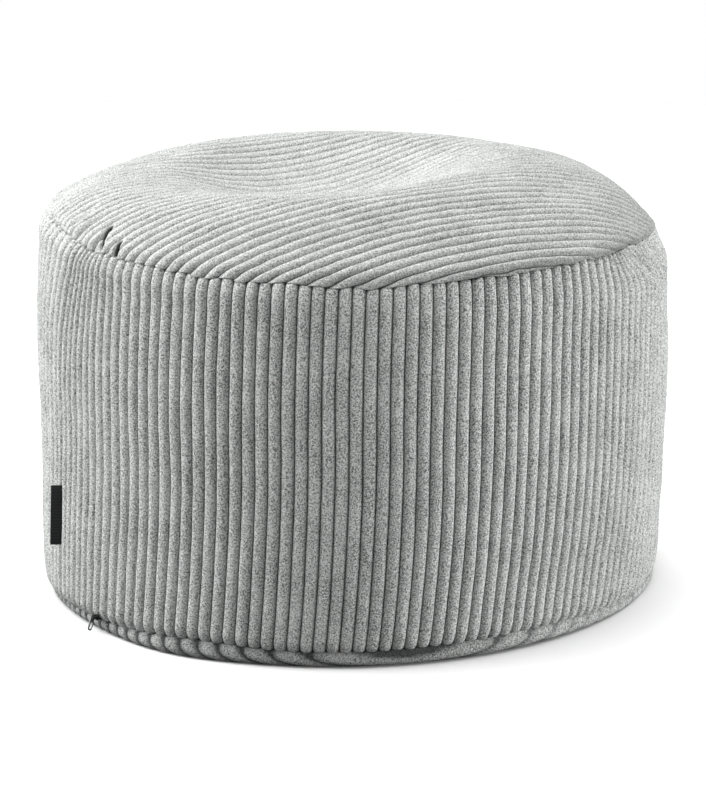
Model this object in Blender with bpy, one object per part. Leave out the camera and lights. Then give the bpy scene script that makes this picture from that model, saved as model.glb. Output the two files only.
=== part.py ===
"""A round floor pouf in wide corduroy, filled and sewn from three panels.

Metres, +Z up. The origin is on the floor under the middle of the pouf, and its
front faces -Y. An azimuth is 0 at the front and grows towards +X. The band goes
round the side, the top panel is a dome with a dent pressed into it, and the
bottom panel is flat where it lies on the floor. All three are filled, so they
are solids that meet at the two round seams. A woven label is sewn into the
band's closing seam, and the zip's slider and pull show at the foot seam.
"""
from collections import namedtuple
from math import cos, pi, radians, sin

import bmesh
import bpy
import numpy as np
from mathutils import Matrix, Vector

# Driving dimensions, in metres and radians
GAP = 0.0003
BAND_CORDS = 160
CORD_DEPTH = 0.0026
CORD_END = 0.007
BAND_HEIGHT_AT = {"foot": 0.0125, "top": 0.2790}
FOOT_TILT = 0.0045
FRONT_CORNER = 0.0060
FLAT_CORNER = 0.0090
FLAT_RADIUS = 0.2370
BOTTOM_RIM = 0.0150

# The cords of the two round panels run at these angles to +X
TOP_CORD_ANGLE = radians(29.3)
BOTTOM_CORD_ANGLE = radians(13.0)
PANEL_CORD_PITCH = 0.0099

# A band cord leans this far by its foot, by its top and beside the closing seam
FOOT_LEAN = radians(-1.7)
TOP_LEAN = radians(0.6)
SEAM_LEAN = radians(5.5)
SEAM_LEAN_AT = radians(-66)
SEAM_LEAN_SPREAD = radians(12)
SEAM_SHIFT = radians(2.0)
RIGHT_LEAN = radians(-4.5)
RIGHT_LEAN_AT = radians(72)
RIGHT_LEAN_SPREAD = radians(16)
RIGHT_LEAN_FROM = 0.86
RIGHT_LEAN_CURVE = 1.5
LEAN_STARTS_AT = 0.55
SEAM_CORD = -28
SEAM_EXTRA_DEPTH = 0.0030
CORD_PHASE = radians(-0.65)

# Radius of the band by the share of its height, with what +X has more than -X
BandRing = namedtuple("BandRing", "share radius skew")
BAND_RINGS = (
    BandRing(0.00, 0.2430, 0.0000),
    BandRing(0.03, 0.2464, -0.0012),
    BandRing(0.15, 0.2476, -0.0010),
    BandRing(0.23, 0.2485, -0.0003),
    BandRing(0.35, 0.2488, 0.0000),
    BandRing(0.47, 0.2489, 0.0003),
    BandRing(0.65, 0.2485, 0.0000),
    BandRing(0.78, 0.2475, -0.0007),
    BandRing(0.92, 0.2462, 0.0000),
    BandRing(0.96, 0.2453, -0.0018),
    BandRing(1.00, 0.2425, 0.0000),
)

# The top seam round the pouf, by azimuth in degrees: it climbs over the shoulder at both sides
SeamPlace = namedtuple("SeamPlace", "azimuth height radius")
TOP_SEAM_PLACES = (
    SeamPlace(-180, 0.2830, 0.2425),
    SeamPlace(-120, 0.2880, 0.2415),
    SeamPlace(-90, 0.2945, 0.2404),
    SeamPlace(-76, 0.2955, 0.2392),
    SeamPlace(-68, 0.2950, 0.2382),
    SeamPlace(-61, 0.2925, 0.2402),
    SeamPlace(-54, 0.2886, 0.2420),
    SeamPlace(-47, 0.2880, 0.2425),
    SeamPlace(-39, 0.2858, 0.2425),
    SeamPlace(-21, 0.2819, 0.2425),
    SeamPlace(0, 0.2802, 0.2425),
    SeamPlace(16, 0.2818, 0.2425),
    SeamPlace(33, 0.2850, 0.2425),
    SeamPlace(49, 0.2863, 0.2418),
    SeamPlace(60, 0.2875, 0.2382),
    SeamPlace(73, 0.2852, 0.2356),
    SeamPlace(90, 0.2835, 0.2360),
    SeamPlace(120, 0.2825, 0.2415),
    SeamPlace(180, 0.2830, 0.2425),
)
TUCK_STARTS_AT = 0.90
TUCK_CURVE = 1.3
RIGHT_SHOULDER = 0.0065

# How close to the seam its climb, its tuck, the shoulder and the dent's rim come into play
SEAM_CLIMB_POWER = 6
SEAM_TUCK_POWER = 8
SHOULDER_POWER = 14
SHOULDER_SIDE_POWER = 3
DENT_RIM_POWER = 6

# Section of the dome before it was sat on: radius and height over the top seam
DomeRing = namedtuple("DomeRing", "radius height")
DOME_RINGS = (
    DomeRing(0.0000, 0.0655),
    DomeRing(0.0500, 0.0650),
    DomeRing(0.0990, 0.0623),
    DomeRing(0.1390, 0.0574),
    DomeRing(0.1710, 0.0480),
    DomeRing(0.1970, 0.0384),
    DomeRing(0.2160, 0.0280),
    DomeRing(0.2300, 0.0180),
    DomeRing(0.2385, 0.0099),
    DomeRing(0.2425, 0.0000),
)
CROWN_TO_BACK = 0.0195
CROWN_TO_LEFT = 0.0047

# The dent where someone sat: its middle, half lengths, turn and depth
Dent = namedtuple("Dent", "x y half_length half_width turn depth")
DENT = Dent(-0.0294, 0.0223, 0.1230, 0.1049, radians(32.8), 0.0481)
DENT_EDGE = 1.2

# Soft troughs that puckers leave beside the top seam
Crease = namedtuple("Crease", "start end width depth")
TOP_CREASES = (
    Crease((-0.177, -0.141, 0.304), (-0.184, -0.155, 0.294), 0.0036, 0.0060),
    Crease((-0.168, -0.165, 0.299), (-0.172, -0.171, 0.289), 0.0036, 0.0050),
    Crease((-0.195, -0.095, 0.308), (-0.206, -0.107, 0.300), 0.0050, 0.0025),
    Crease((-0.189, -0.116, 0.307), (-0.201, -0.127, 0.297), 0.0050, 0.0025),
)
BAND_CREASES = (
    Crease((0.2080, -0.1140, 0.2800), (0.2200, -0.1060, 0.2620), 0.0040, 0.0030),
    Crease((0.2160, -0.0960, 0.2790), (0.2290, -0.0860, 0.2620), 0.0040, 0.0030),
    Crease((0.2230, -0.0740, 0.2780), (0.2350, -0.0640, 0.2640), 0.0040, 0.0025),
)

# How finely the solids are divided: three columns to a cord
COLUMNS_A_CORD = 3
BAND_SHARES = (0.0, 0.035, 0.12, 0.34, 0.62, 0.93, 1.0)
TOP_STEPS = (0.0, 0.22, 0.44, 0.64, 0.82, 0.94, 0.978, 1.0)
BOTTOM_STEPS = (0.0, 0.55, 1.0)

# The woven label in the closing seam, and the zip's slider and pull
LABEL_BOTTOM = 0.0535
LABEL_TOP = 0.1012
LABEL_THICKNESS = 0.0012
LabelStep = namedtuple("LabelStep", "along out")
LABEL_STEPS = (
    LabelStep(0.0000, -0.0026),
    LabelStep(0.0006, 0.0006),
    LabelStep(0.0016, 0.0028),
    LabelStep(0.0026, 0.0047),
    LabelStep(0.0036, 0.0065),
)
ZIP_AZIMUTH = radians(-49.6)
ZIP_RADIUS = 0.2519
ZIP_HEIGHT = 0.0112
SLIDER_SIZE = (0.0064, 0.0034, 0.0036)
SLIDER_EDGE = 0.0005
SLIDER_NOSE = 0.6
SLIDER_BACK = 0.3
BRIDGE_RADIUS = 0.0025
BRIDGE_SINK = 0.00035
BRIDGE_WIRE = 0.0005
BRIDGE_RISE = 0.0016
PULL_LENGTH = 0.0122
PULL_WIDTH = 0.0036
PULL_THICKNESS = 0.0009
PULL_EYE = 0.00105
PULL_DROP = 0.0002
PULL_LEAN = radians(19.0)


def smooth_curve(places, values):
    """A smooth curve through a table's points that never swings past them."""
    places = np.asarray(places, float)
    values = np.asarray(values, float)
    rise = np.diff(values) / np.diff(places)
    slope = np.concatenate(([rise[0]], np.zeros(len(rise) - 1), [rise[-1]]))
    for i in range(1, len(rise)):
        if rise[i - 1] * rise[i] > 0:
            slope[i] = 2 / (1 / rise[i - 1] + 1 / rise[i])

    def at(x):
        i = np.clip(np.searchsorted(places, x) - 1, 0, len(rise) - 1)
        step = places[i + 1] - places[i]
        t = (x - places[i]) / step
        return (values[i] * (1 + 2 * t) * (1 - t) ** 2
                + values[i + 1] * t ** 2 * (3 - 2 * t)
                + step * t * (1 - t) * (slope[i] * (1 - t) - slope[i + 1] * t))

    return at


band_radius = smooth_curve([r.share for r in BAND_RINGS], [r.radius for r in BAND_RINGS])
band_skew = smooth_curve([r.share for r in BAND_RINGS], [r.skew for r in BAND_RINGS])
seam_azimuths = [radians(place.azimuth) for place in TOP_SEAM_PLACES]
seam_height_curve = smooth_curve(seam_azimuths, [place.height for place in TOP_SEAM_PLACES])
seam_radius_curve = smooth_curve(seam_azimuths, [place.radius for place in TOP_SEAM_PLACES])

dome_steps = [0.0]
for inner, outer in zip(DOME_RINGS, DOME_RINGS[1:]):
    dome_steps.append(dome_steps[-1] + np.hypot(outer.radius - inner.radius, outer.height - inner.height))
DOME_ARC = dome_steps[-1]
dome_shares = [s / DOME_ARC for s in dome_steps]
dome_radius = smooth_curve(dome_shares, [r.radius for r in DOME_RINGS])
dome_height = smooth_curve(dome_shares, [r.height for r in DOME_RINGS])


def front_corner(azimuth):
    """The foot stands out at the front left and draws in at the front right."""
    return -np.sin(2 * azimuth) * np.clip(3 * np.cos(azimuth), 0, 1)


def foot_seam_height(azimuth):
    return BAND_HEIGHT_AT["foot"] + FOOT_TILT * np.sin(azimuth)


def one_turn(azimuth):
    """An azimuth brought between half a turn to the left and half a turn to the right."""
    return (azimuth + pi) % (2 * pi) - pi


def top_seam_height(azimuth):
    return seam_height_curve(one_turn(azimuth))


def top_tuck(azimuth):
    """How far the top seam is drawn in over the shoulder."""
    return DOME_RINGS[-1].radius - seam_radius_curve(one_turn(azimuth))


def around(azimuth, radius, height):
    return np.stack([radius * np.sin(azimuth), -radius * np.cos(azimuth), height], axis=-1)


def band_point(azimuth, share):
    """A point on the crest of the band's cords."""
    low = FOOT_LEAN * np.clip(1 - share / LEAN_STARTS_AT, 0, 1) ** 2
    by_seam = np.exp(-((azimuth - SEAM_LEAN_AT) / SEAM_LEAN_SPREAD) ** 2)
    rising = np.clip((share - LEAN_STARTS_AT) / (1 - LEAN_STARTS_AT), 0, 1) ** 2
    at_right = np.exp(-((azimuth - RIGHT_LEAN_AT) / RIGHT_LEAN_SPREAD) ** 2)
    rising_right = np.clip((share - RIGHT_LEAN_FROM) / (1 - RIGHT_LEAN_FROM), 0, 1) ** RIGHT_LEAN_CURVE
    leant = azimuth + low + (TOP_LEAN + SEAM_LEAN * by_seam) * rising
    leant = leant + SEAM_SHIFT * by_seam + RIGHT_LEAN * at_right * rising_right
    foot = foot_seam_height(leant)
    height = foot + (top_seam_height(leant) - GAP - foot) * share
    corner = FRONT_CORNER * front_corner(leant) * (1 - share) ** 2
    tucked = np.clip((share - TUCK_STARTS_AT) / (1 - TUCK_STARTS_AT), 0, 1) ** TUCK_CURVE
    radius = band_radius(share) + band_skew(share) * np.sin(leant) + corner
    return around(leant, radius - top_tuck(leant) * tucked, height)


def top_point(along, across):
    """A point on the top panel's cord crests, from its place on a unit disc."""
    x = along * cos(TOP_CORD_ANGLE) - across * sin(TOP_CORD_ANGLE)
    y = along * sin(TOP_CORD_ANGLE) + across * cos(TOP_CORD_ANGLE)
    reach = np.clip(np.hypot(x, y), 0, 1)
    azimuth = np.arctan2(x, -y)
    crown = BAND_HEIGHT_AT["top"]
    height = crown + (top_seam_height(azimuth) - crown) * reach ** SEAM_CLIMB_POWER + dome_height(reach)
    near_seam = reach ** SHOULDER_POWER
    shoulder = 4 * near_seam * (1 - near_seam)
    height -= RIGHT_SHOULDER * np.clip(np.sin(azimuth), 0, 1) ** SHOULDER_SIDE_POWER * shoulder
    push = reach * (1 - reach ** 2)
    height -= push * (CROWN_TO_LEFT * np.sin(azimuth) + CROWN_TO_BACK * np.cos(azimuth))
    point = around(azimuth, dome_radius(reach) - top_tuck(azimuth) * reach ** SEAM_TUCK_POWER, height)
    px = point[..., 0] - DENT.x
    py = point[..., 1] - DENT.y
    length = (px * cos(DENT.turn) + py * sin(DENT.turn)) / DENT.half_length
    width = (py * cos(DENT.turn) - px * sin(DENT.turn)) / DENT.half_width
    pressed = np.exp(-(length ** 2 + width ** 2) ** DENT_EDGE) * (1 - reach ** DENT_RIM_POWER)
    point[..., 2] -= DENT.depth * pressed
    return point


def bottom_point(azimuth, step):
    """A point on the bottom panel's rim, from its flat edge (0) to the seam (1)."""
    corner = front_corner(azimuth)
    flat = FLAT_RADIUS + FLAT_CORNER * corner
    seam = band_radius(0.0) + FRONT_CORNER * corner
    radius = flat + (seam - flat) * np.sqrt(1 - (1 - step) ** 2)
    height = (foot_seam_height(azimuth) - GAP) * (1 - np.sqrt(1 - step ** 2))
    return around(azimuth, radius, height)


def outward(surface, a, b, step=1e-4):
    """The surface's unit normals, turned away from the middle of the pouf."""
    across_a = surface(a + step, b) - surface(a - step, b)
    across_b = surface(a, b + step) - surface(a, b - step)
    normal = np.cross(across_a, across_b)
    normal /= np.linalg.norm(normal, axis=-1, keepdims=True)
    away = surface(a, b) - np.array([0.0, 0.0, BAND_HEIGHT_AT["top"] / 2])
    return normal * np.sign(np.sum(normal * away, axis=-1, keepdims=True))


def trough(phase):
    """How deep a cord's section lies: 1 in the groove, 0 across the ridge."""
    nearness = 1 - np.abs(phase - np.round(phase)) * COLUMNS_A_CORD
    return np.clip(nearness, 0, 1)


def end_fade(distance):
    """Cords shrink to nothing where they tuck into a seam."""
    t = np.clip(distance / CORD_END, 0, 1)
    return t * t * (3 - 2 * t)


def crease_depth(points, creases):
    """The depth of the puckers at each point."""
    depth = np.zeros(points.shape[:-1])
    for crease in creases:
        start = np.array(crease.start)
        line = np.array(crease.end) - start
        along = np.clip((points - start) @ line / (line @ line), 0, 1)
        away = np.linalg.norm(points - start - along[..., None] * line, axis=-1)
        depth += crease.depth * np.exp(-(away / crease.width) ** 2)
    return depth


def cloth_material(name, colour, roughness):
    material = bpy.data.materials.new(name)
    material.use_nodes = True
    shader = material.node_tree.nodes["Principled BSDF"]
    shader.inputs["Base Color"].default_value = (*colour, 1.0)
    shader.inputs["Roughness"].default_value = roughness
    return material


def metal_material(name, colour, roughness):
    material = cloth_material(name, colour, roughness)
    material.node_tree.nodes["Principled BSDF"].inputs["Metallic"].default_value = 1.0
    return material


def add_object(name, mesh, material):
    piece = bpy.data.objects.new(name, mesh)
    bpy.context.collection.objects.link(piece)
    mesh.materials.append(material)
    return piece


def add_solid(name, points, faces, material):
    """One closed body from its points and faces, with its faces turned out."""
    mesh = bpy.data.meshes.new(name)
    mesh.from_pydata([tuple(p) for p in points], [], faces)
    shape = bmesh.new()
    shape.from_mesh(mesh)
    bmesh.ops.recalc_face_normals(shape, faces=shape.faces)
    shape.to_mesh(mesh)
    shape.free()
    mesh.shade_smooth()
    return add_object(name, mesh, material)


def wall_faces(columns, rows):
    """Four-sided faces of a closed wall, rows of columns one above another."""
    faces = []
    for row in range(rows - 1):
        for column in range(columns):
            beside = (column + 1) % columns
            low = row * columns
            faces.append((low + column, low + beside, low + columns + beside, low + columns + column))
    return faces


def fan_faces(ring, middle):
    """Triangles from a ring of points to one middle point."""
    return [(a, b, middle) for a, b in zip(ring, ring[1:] + ring[:1])]


def build_band(material):
    columns = BAND_CORDS * COLUMNS_A_CORD
    cord = np.arange(columns) / COLUMNS_A_CORD
    azimuth, share = np.meshgrid(cord * 2 * pi / BAND_CORDS + CORD_PHASE, BAND_SHARES)
    azimuth = one_turn(azimuth)
    crest = band_point(azimuth, share)
    tall = top_seam_height(azimuth) - foot_seam_height(azimuth)
    fade = end_fade(share * tall) * end_fade((1 - share) * tall)
    depth = CORD_DEPTH * trough(cord)[None, :] * np.ones_like(share)
    depth[:, (SEAM_CORD * COLUMNS_A_CORD) % columns] += SEAM_EXTRA_DEPTH
    depth += crease_depth(crest, BAND_CREASES)
    points = crest - outward(band_point, azimuth, share) * (depth * fade)[..., None]
    points = list(points.reshape(-1, 3))
    faces = wall_faces(columns, len(BAND_SHARES))
    for row, height in ((0, BAND_HEIGHT_AT["foot"]), (len(BAND_SHARES) - 1, BAND_HEIGHT_AT["top"] - GAP)):
        ring = [row * columns + column for column in range(columns)]
        faces += fan_faces(ring, len(points))
        points.append((0.0, 0.0, height))
    return add_solid("side_band", points, faces, material)


def build_top(material):
    """Lines of points run along the cords, from seam to seam."""
    cords = DOME_ARC / PANEL_CORD_PITCH
    last = int(cords * COLUMNS_A_CORD)
    lines = np.arange(-last, last + 1) / COLUMNS_A_CORD
    steps = np.array([-s for s in TOP_STEPS[:0:-1]] + list(TOP_STEPS))
    across, step = np.meshgrid(lines / cords, steps, indexing="ij")
    along = step * np.sqrt(1 - across ** 2)
    crest = top_point(along, across)
    fade = end_fade((1 - np.hypot(along, across)) * DOME_ARC)
    depth = CORD_DEPTH * trough(lines)[:, None] + crease_depth(crest, TOP_CREASES)
    points = crest - outward(top_point, along, across) * (depth * fade)[..., None]
    points = list(points.reshape(-1, 3))
    width = len(steps)
    count = len(lines)
    faces = []
    for line in range(count - 1):
        for place in range(width - 1):
            low = line * width + place
            faces.append((low, low + 1, low + width + 1, low + width))
    near_tip = len(points)
    far_tip = near_tip + 1
    points += [top_point(np.array(0.0), np.array(-1.0)), top_point(np.array(0.0), np.array(1.0))]
    for place in range(width - 1):
        faces.append((place, place + 1, near_tip))
        faces.append(((count - 1) * width + place, (count - 1) * width + place + 1, far_tip))
    right = [line * width + width - 1 for line in range(count)]
    left = [line * width for line in reversed(range(count))]
    faces += fan_faces([near_tip] + right + [far_tip] + left, len(points))
    points.append((0.0, 0.0, BAND_HEIGHT_AT["top"]))
    return add_solid("top_panel", points, faces, material)


def build_bottom(material):
    columns = BAND_CORDS * COLUMNS_A_CORD
    azimuth, step = np.meshgrid(np.arange(columns) * 2 * pi / columns, BOTTOM_STEPS)
    azimuth = one_turn(azimuth)
    skin = bottom_point(azimuth, step)
    unrolled = FLAT_RADIUS + FLAT_CORNER * front_corner(azimuth) + BOTTOM_RIM * step
    across = unrolled * np.cos(azimuth - BOTTOM_CORD_ANGLE)
    depth = CORD_DEPTH * trough(across / PANEL_CORD_PITCH)
    depth *= np.where((step > 0) & (step < 1), 1.0, 0.0)
    points = skin - outward(bottom_point, azimuth, np.clip(step, 0.05, 0.95)) * depth[..., None]
    points = list(points.reshape(-1, 3))
    faces = wall_faces(columns, len(BOTTOM_STEPS))
    faces.append(tuple(range(columns)))
    ring = [(len(BOTTOM_STEPS) - 1) * columns + column for column in range(columns)]
    faces += fan_faces(ring, len(points))
    points.append((0.0, 0.0, BAND_HEIGHT_AT["foot"] - GAP))
    return add_solid("bottom_panel", points, faces, material)


def build_label(material):
    """A folded tape that comes out of the closing seam and lies back over the cords."""
    seam = SEAM_CORD * 2 * pi / BAND_CORDS + CORD_PHASE
    rows = 5
    points = []
    for row in range(rows):
        height = LABEL_BOTTOM + (LABEL_TOP - LABEL_BOTTOM) * row / (rows - 1)
        share = (height - BAND_HEIGHT_AT["foot"]) / (BAND_HEIGHT_AT["top"] - BAND_HEIGHT_AT["foot"])
        radius = float(band_radius(share))
        for place in LABEL_STEPS:
            azimuth = seam - place.along / radius
            foot = band_point(np.array(azimuth), np.array(share))
            normal = outward(band_point, np.array(azimuth), np.array(share))
            point = foot + normal * place.out
            points.append((point[0], point[1], height))
    width = len(LABEL_STEPS)
    faces = []
    for row in range(rows - 1):
        for place in range(width - 1):
            low = row * width + place
            faces.append((low, low + 1, low + width + 1, low + width))
    mesh = bpy.data.meshes.new("woven_label")
    mesh.from_pydata([tuple(p) for p in points], [], faces)
    label = add_object("woven_label", mesh, material)
    fold = label.modifiers.new("thickness", "SOLIDIFY")
    fold.thickness = LABEL_THICKNESS
    fold.offset = 0.0
    fold.use_even_offset = True
    return label


def zip_frame():
    """Where the slider sits: x along the seam, y outward and z up."""
    out = Vector((sin(ZIP_AZIMUTH), -cos(ZIP_AZIMUTH), 0.0))
    up = Vector((0.0, 0.0, 1.0))
    along = out.cross(up)
    place = out * ZIP_RADIUS + up * ZIP_HEIGHT
    frame = Matrix((along, out, up)).transposed().to_4x4()
    return Matrix.Translation(place) @ frame


def build_slider(material):
    """A body that narrows into the seam, with a wire bridge across its outer face."""
    length, depth, height = SLIDER_SIZE
    shape = bmesh.new()
    bmesh.ops.create_cube(shape, size=1.0)
    for point in shape.verts:
        nose = SLIDER_NOSE if point.co.x < 0 else 1.0
        back = SLIDER_BACK if point.co.y < 0 else 1.0
        point.co = Vector((point.co.x * length, point.co.y * depth, point.co.z * height * nose * back))
    bmesh.ops.bevel(shape, geom=shape.edges[:], offset=SLIDER_EDGE, segments=2, affect="EDGES")
    mesh = bpy.data.meshes.new("zip_slider")
    shape.to_mesh(mesh)
    shape.free()
    slider = add_object("zip_slider", mesh, material)
    slider.matrix_world = zip_frame()
    bpy.ops.mesh.primitive_torus_add(major_radius=BRIDGE_RADIUS, minor_radius=BRIDGE_WIRE,
                                     major_segments=20, minor_segments=8)
    bridge = bpy.context.object
    bridge.name = "zip_bridge_guide"
    bridge.matrix_world = zip_frame() @ Matrix.Translation((0.0, depth / 2 - BRIDGE_SINK, BRIDGE_RISE))
    bridge.hide_render = True
    bridge.display_type = "WIRE"
    join = slider.modifiers.new("bridge", "BOOLEAN")
    join.operation = "UNION"
    join.solver = "EXACT"
    join.object = bridge
    return slider


def stadium(width, length, middle, turns=6):
    """A round-ended outline about a middle point, as points in a plane."""
    straight = length / 2 - width / 2
    points = []
    for end in (1, -1):
        for turn in range(turns + 1):
            angle = pi * turn / turns + (0.0 if end > 0 else pi)
            points.append((width / 2 * cos(angle), middle + end * straight + width / 2 * sin(angle)))
    return points


def extrude_outline(shape, outline, thickness):
    """A flat plate of this outline, centred on the plane x = 0."""
    points = [shape.verts.new((-thickness / 2, y, z)) for y, z in outline]
    face = shape.faces.new(points)
    grown = bmesh.ops.extrude_face_region(shape, geom=[face])
    moved = [item for item in grown["geom"] if isinstance(item, bmesh.types.BMVert)]
    bmesh.ops.translate(shape, vec=(thickness, 0.0, 0.0), verts=moved)
    bmesh.ops.recalc_face_normals(shape, faces=shape.faces)


def plate_object(name, outline, thickness):
    shape = bmesh.new()
    extrude_outline(shape, outline, thickness)
    mesh = bpy.data.meshes.new(name)
    shape.to_mesh(mesh)
    shape.free()
    piece = bpy.data.objects.new(name, mesh)
    bpy.context.collection.objects.link(piece)
    return piece


def build_pull(material):
    """A small flat tab that hangs from the bridge by an eye, with a slot near its end."""
    wire = SLIDER_SIZE[1] / 2 - BRIDGE_SINK + BRIDGE_RADIUS
    place = zip_frame() @ Matrix.Translation((0.0, wire, BRIDGE_RISE - PULL_DROP))
    hang = place @ Matrix.Rotation(PULL_LEAN, 4, "X")
    middle = PULL_WIDTH / 2 - PULL_LENGTH / 2
    pull = plate_object("zip_pull", stadium(PULL_WIDTH, PULL_LENGTH, middle), PULL_THICKNESS)
    pull.data.materials.append(material)
    pull.matrix_world = hang
    holes = (("eye", PULL_EYE * 2, PULL_EYE * 2.02, 0.0),
             ("slot", PULL_WIDTH * 0.50, PULL_LENGTH * 0.48, -PULL_LENGTH * 0.52))
    for name, width, length, where in holes:
        cutter = plate_object("zip_pull_" + name + "_cutter", stadium(width, length, where), PULL_THICKNESS * 3)
        cutter.matrix_world = hang
        cutter.hide_render = True
        cutter.display_type = "WIRE"
        cut = pull.modifiers.new(name, "BOOLEAN")
        cut.operation = "DIFFERENCE"
        cut.solver = "EXACT"
        cut.object = cutter
    return pull


def main():
    for old in list(bpy.data.objects):
        bpy.data.objects.remove(old, do_unlink=True)
    corduroy = cloth_material("grey_corduroy", (0.50, 0.51, 0.50), 0.95)
    foot_corduroy = cloth_material("grey_corduroy_foot", (0.42, 0.43, 0.42), 0.95)
    top_corduroy = cloth_material("grey_corduroy_top", (0.55, 0.56, 0.55), 0.95)
    tape = cloth_material("black_woven_tape", (0.01, 0.01, 0.01), 0.8)
    slider_metal = metal_material("dark_zip_metal", (0.10, 0.10, 0.10), 0.45)
    pull_metal = metal_material("zip_pull_metal", (0.35, 0.35, 0.35), 0.35)
    build_band(corduroy)
    build_top(top_corduroy)
    build_bottom(foot_corduroy)
    build_label(tape)
    build_slider(slider_metal)
    build_pull(pull_metal)


main()
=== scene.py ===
# %% [markdown]
# # A round pouf in wide corduroy
#
# The pouf is a drum of cloth stuffed with a loose filling. A maker cuts two round
# panels and one long band from corduroy, sews the band into a ring with an upright
# closing seam, and sews the panels to its edges. A woven label goes into the closing
# seam and a zip into the foot seam. We build the same pieces here, in metres, with
# the floor at z = 0 and the pouf's front facing -Y.
#
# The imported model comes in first. It is the frame: every piece below stands where one
# of its nodes stands, and rides on its one body.

# %% Load the frame
from collections import namedtuple
from math import cos, pi, radians, sin

import bpy
import numpy as np
from mathutils import Matrix, Vector


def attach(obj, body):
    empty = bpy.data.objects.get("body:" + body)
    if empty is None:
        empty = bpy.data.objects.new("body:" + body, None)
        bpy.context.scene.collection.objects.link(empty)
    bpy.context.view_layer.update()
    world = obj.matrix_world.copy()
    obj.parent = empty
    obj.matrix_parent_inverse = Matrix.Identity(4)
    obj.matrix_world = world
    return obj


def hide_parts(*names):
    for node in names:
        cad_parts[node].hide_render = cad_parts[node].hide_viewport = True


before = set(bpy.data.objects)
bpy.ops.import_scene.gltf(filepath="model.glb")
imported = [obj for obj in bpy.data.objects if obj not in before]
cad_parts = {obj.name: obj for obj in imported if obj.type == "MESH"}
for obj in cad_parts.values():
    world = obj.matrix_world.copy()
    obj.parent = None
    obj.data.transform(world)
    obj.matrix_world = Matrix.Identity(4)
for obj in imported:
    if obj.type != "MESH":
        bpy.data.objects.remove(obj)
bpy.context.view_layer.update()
print("frame nodes:", sorted(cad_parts))

# %% [markdown]
# ## Curves through short tables
#
# A sewn shape has no simple formula, but a few measured sections say all there is to
# know about it. We keep those as short tables and run a smooth curve through their
# points. The curve is a cubic whose slopes are held back, so that it never bulges past
# the measured values, which a plain spline would do near the tight turn at a seam.


# %% A curve that never swings past its points
def smooth_curve(places, values):
    places = np.asarray(places, float)
    values = np.asarray(values, float)
    rise = np.diff(values) / np.diff(places)
    slope = np.concatenate(([rise[0]], np.zeros(len(rise) - 1), [rise[-1]]))
    for i in range(1, len(rise)):
        if rise[i - 1] * rise[i] > 0:
            slope[i] = 2 / (1 / rise[i - 1] + 1 / rise[i])

    def at(x):
        i = np.clip(np.searchsorted(places, x) - 1, 0, len(rise) - 1)
        step = places[i + 1] - places[i]
        t = (x - places[i]) / step
        return (values[i] * (1 + 2 * t) * (1 - t) ** 2
                + values[i + 1] * t ** 2 * (3 - 2 * t)
                + step * t * (1 - t) * (slope[i] * (1 - t) - slope[i + 1] * t))

    return at


# %% [markdown]
# ## The form of the three panels
#
# The sizes are those of the frame's own solids. The band bellies out a little and draws
# in at both seams. The dome is given as it was before anyone sat on it, and a dent is
# pressed into it afterwards, because that is how the real hollow came about.

# %% Sizes that drive the form
SEAM_GAP = 0.0003
FOOT_SEAM = 0.0125
TOP_SEAM = 0.2790
FOOT_TILT = 0.0045
FRONT_CORNER = 0.0060
FLAT_CORNER = 0.0090
FLAT_RADIUS = 0.2370

BandRing = namedtuple("BandRing", "share radius skew")
BAND_RINGS = (
    BandRing(0.00, 0.2430, 0.0000),
    BandRing(0.03, 0.2464, -0.0012),
    BandRing(0.15, 0.2476, -0.0010),
    BandRing(0.23, 0.2485, -0.0003),
    BandRing(0.35, 0.2488, 0.0000),
    BandRing(0.47, 0.2489, 0.0003),
    BandRing(0.65, 0.2485, 0.0000),
    BandRing(0.78, 0.2475, -0.0007),
    BandRing(0.92, 0.2462, 0.0000),
    BandRing(0.96, 0.2453, -0.0018),
    BandRing(1.00, 0.2425, 0.0000),
)
SeamPlace = namedtuple("SeamPlace", "azimuth height radius")
TOP_SEAM_PLACES = (
    SeamPlace(-180, 0.2830, 0.2425),
    SeamPlace(-120, 0.2880, 0.2415),
    SeamPlace(-90, 0.2945, 0.2404),
    SeamPlace(-76, 0.2955, 0.2392),
    SeamPlace(-68, 0.2950, 0.2382),
    SeamPlace(-61, 0.2925, 0.2402),
    SeamPlace(-54, 0.2886, 0.2420),
    SeamPlace(-47, 0.2880, 0.2425),
    SeamPlace(-39, 0.2858, 0.2425),
    SeamPlace(-21, 0.2819, 0.2425),
    SeamPlace(0, 0.2802, 0.2425),
    SeamPlace(16, 0.2818, 0.2425),
    SeamPlace(33, 0.2850, 0.2425),
    SeamPlace(49, 0.2863, 0.2418),
    SeamPlace(60, 0.2875, 0.2382),
    SeamPlace(73, 0.2852, 0.2356),
    SeamPlace(90, 0.2835, 0.2360),
    SeamPlace(120, 0.2825, 0.2415),
    SeamPlace(180, 0.2830, 0.2425),
)
TUCK_STARTS_AT = 0.90
TUCK_CURVE = 1.3
RIGHT_SHOULDER = 0.0065

# How close to the seam its climb, its tuck, the shoulder and the dent's rim come into play
SEAM_CLIMB_POWER = 6
SEAM_TUCK_POWER = 8
SHOULDER_POWER = 14
SHOULDER_SIDE_POWER = 3
DENT_RIM_POWER = 6

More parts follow.
